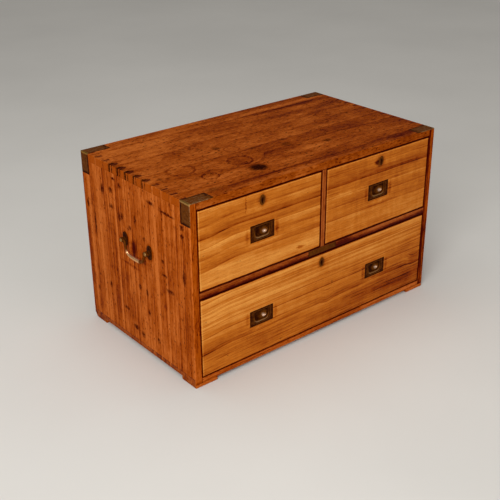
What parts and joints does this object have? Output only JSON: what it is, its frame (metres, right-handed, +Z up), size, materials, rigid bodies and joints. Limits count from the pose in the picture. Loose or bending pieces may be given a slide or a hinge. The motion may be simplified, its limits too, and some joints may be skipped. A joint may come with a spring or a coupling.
{
  "type": "campaign chest",
  "caption": "Low campaign chest with short drawers over a long drawer, flush brass bail handles, locks, brass corner straps and a drop handle on each side.",
  "frame": {"origin": "middle of the chest on the surface that it stands on", "axes": "+Z up, -Y out of the drawer fronts, +X towards the right-hand end as seen from the front"},
  "size_m": [0.957, 0.526, 0.542],
  "materials": {
    "camphor_top": "waxed, worn",
    "camphor_side": "waxed, worn",
    "camphor_front": "waxed",
    "camphor_frame": "waxed, worn",
    "camphor_base": "waxed, worn",
    "inner_wood": "bare, planed",
    "aged_brass": "dark patina, bright on worn edges",
    "brass_screws": "dark patina",
    "lock_brass": "dull",
    "iron_nails": "rusted"
  },
  "bodies": {
    "carcass": {"back_board_nails": "iron_nails", "back_boards": "inner_wood", "bottom_board": "camphor_base", "centre_guide": "inner_wood", "centre_upright": "camphor_frame", "corner_strap_screws": "brass_screws", "drawer_stops": "inner_wood", "dust_board": "inner_wood", "foot_pads": "camphor_base", "front_left_corner_strap": "aged_brass", "front_right_corner_strap": "aged_brass", "handle_post_screws": "brass_screws", "handle_posts": "aged_brass", "kickers": "inner_wood", "left_side": "camphor_side", "middle_rail": "camphor_frame", "rail_strap": "aged_brass", "rail_strap_screws": "brass_screws", "rear_left_corner_strap": "aged_brass", "rear_right_corner_strap": "aged_brass", "right_side": "camphor_side", "top_board": "camphor_top"},
    "left_drawer": {"left_drawer_back": "inner_wood", "left_drawer_bottom": "inner_wood", "left_drawer_escutcheon": "aged_brass", "left_drawer_front": "camphor_front", "left_drawer_handle_plate": "aged_brass", "left_drawer_left_side": "inner_wood", "left_drawer_lock_case": "lock_brass", "left_drawer_right_side": "inner_wood", "left_drawer_screws": "brass_screws"},
    "left_drawer_bail": {"left_drawer_handle_bail": "aged_brass"},
    "left_drawer_bolt": {"left_drawer_lock_bolt": "lock_brass"},
    "left_side_bail": {"left_side_bail": "aged_brass"},
    "long_drawer": {"long_drawer_back": "inner_wood", "long_drawer_bottom": "inner_wood", "long_drawer_escutcheon": "aged_brass", "long_drawer_front": "camphor_front", "long_drawer_left_handle_plate": "aged_brass", "long_drawer_left_side": "inner_wood", "long_drawer_lock_case": "lock_brass", "long_drawer_muntin": "inner_wood", "long_drawer_right_handle_plate": "aged_brass", "long_drawer_right_side": "inner_wood", "long_drawer_screws": "brass_screws"},
    "long_drawer_left_bail": {"long_drawer_left_handle_bail": "aged_brass"},
    "long_drawer_bolt": {"long_drawer_lock_bolt": "lock_brass"},
    "long_drawer_right_bail": {"long_drawer_right_handle_bail": "aged_brass"},
    "right_drawer": {"right_drawer_back": "inner_wood", "right_drawer_bottom": "inner_wood", "right_drawer_escutcheon": "aged_brass", "right_drawer_front": "camphor_front", "right_drawer_handle_plate": "aged_brass", "right_drawer_left_side": "inner_wood", "right_drawer_lock_case": "lock_brass", "right_drawer_right_side": "inner_wood", "right_drawer_screws": "brass_screws"},
    "right_drawer_bail": {"right_drawer_handle_bail": "aged_brass"},
    "right_drawer_bolt": {"right_drawer_lock_bolt": "lock_brass"},
    "right_side_bail": {"right_side_bail": "aged_brass"}
  },
  "joints": [
    {"name": "left_drawer_slide", "type": "slide", "parent": "carcass", "child": "left_drawer", "axis": [0, -1, 0], "range_m": [0, 0.38]},
    {"name": "right_drawer_slide", "type": "slide", "parent": "carcass", "child": "right_drawer", "axis": [0, -1, 0], "range_m": [0, 0.38]},
    {"name": "long_drawer_slide", "type": "slide", "parent": "carcass", "child": "long_drawer", "axis": [0, -1, 0], "range_m": [0, 0.38]},
    {"name": "left_drawer_bail_hinge", "type": "hinge", "parent": "left_drawer", "child": "left_drawer_bail", "pos_m": [-0.2235, -0.2587, 0.41535], "axis": [-1, 0, 0], "range_deg": [0, 90]},
    {"name": "right_drawer_bail_hinge", "type": "hinge", "parent": "right_drawer", "child": "right_drawer_bail", "pos_m": [0.2235, -0.2587, 0.41535], "axis": [-1, 0, 0], "range_deg": [0, 90]},
    {"name": "long_drawer_left_bail_hinge", "type": "hinge", "parent": "long_drawer", "child": "long_drawer_left_bail", "pos_m": [-0.227, -0.2587, 0.15785], "axis": [-1, 0, 0], "range_deg": [0, 90]},
    {"name": "long_drawer_right_bail_hinge", "type": "hinge", "parent": "long_drawer", "child": "long_drawer_right_bail", "pos_m": [0.227, -0.2587, 0.15785], "axis": [-1, 0, 0], "range_deg": [0, 90]},
    {"name": "left_drawer_bolt_slide", "type": "slide", "parent": "left_drawer", "child": "left_drawer_bolt", "axis": [0, 0, 1], "range_m": [0, 0.01]},
    {"name": "right_drawer_bolt_slide", "type": "slide", "parent": "right_drawer", "child": "right_drawer_bolt", "axis": [0, 0, 1], "range_m": [0, 0.01]},
    {"name": "long_drawer_bolt_slide", "type": "slide", "parent": "long_drawer", "child": "long_drawer_bolt", "axis": [0, 0, 1], "range_m": [0, 0.01]},
    {"name": "left_side_bail_hinge", "type": "hinge", "parent": "carcass", "child": "left_side_bail", "pos_m": [-0.471, -0.011, 0.34], "axis": [0, 1, 0], "range_deg": [-6, 180]},
    {"name": "right_side_bail_hinge", "type": "hinge", "parent": "carcass", "child": "right_side_bail", "pos_m": [0.471, -0.011, 0.34], "axis": [0, -1, 0], "range_deg": [-6, 180]}
  ]
}
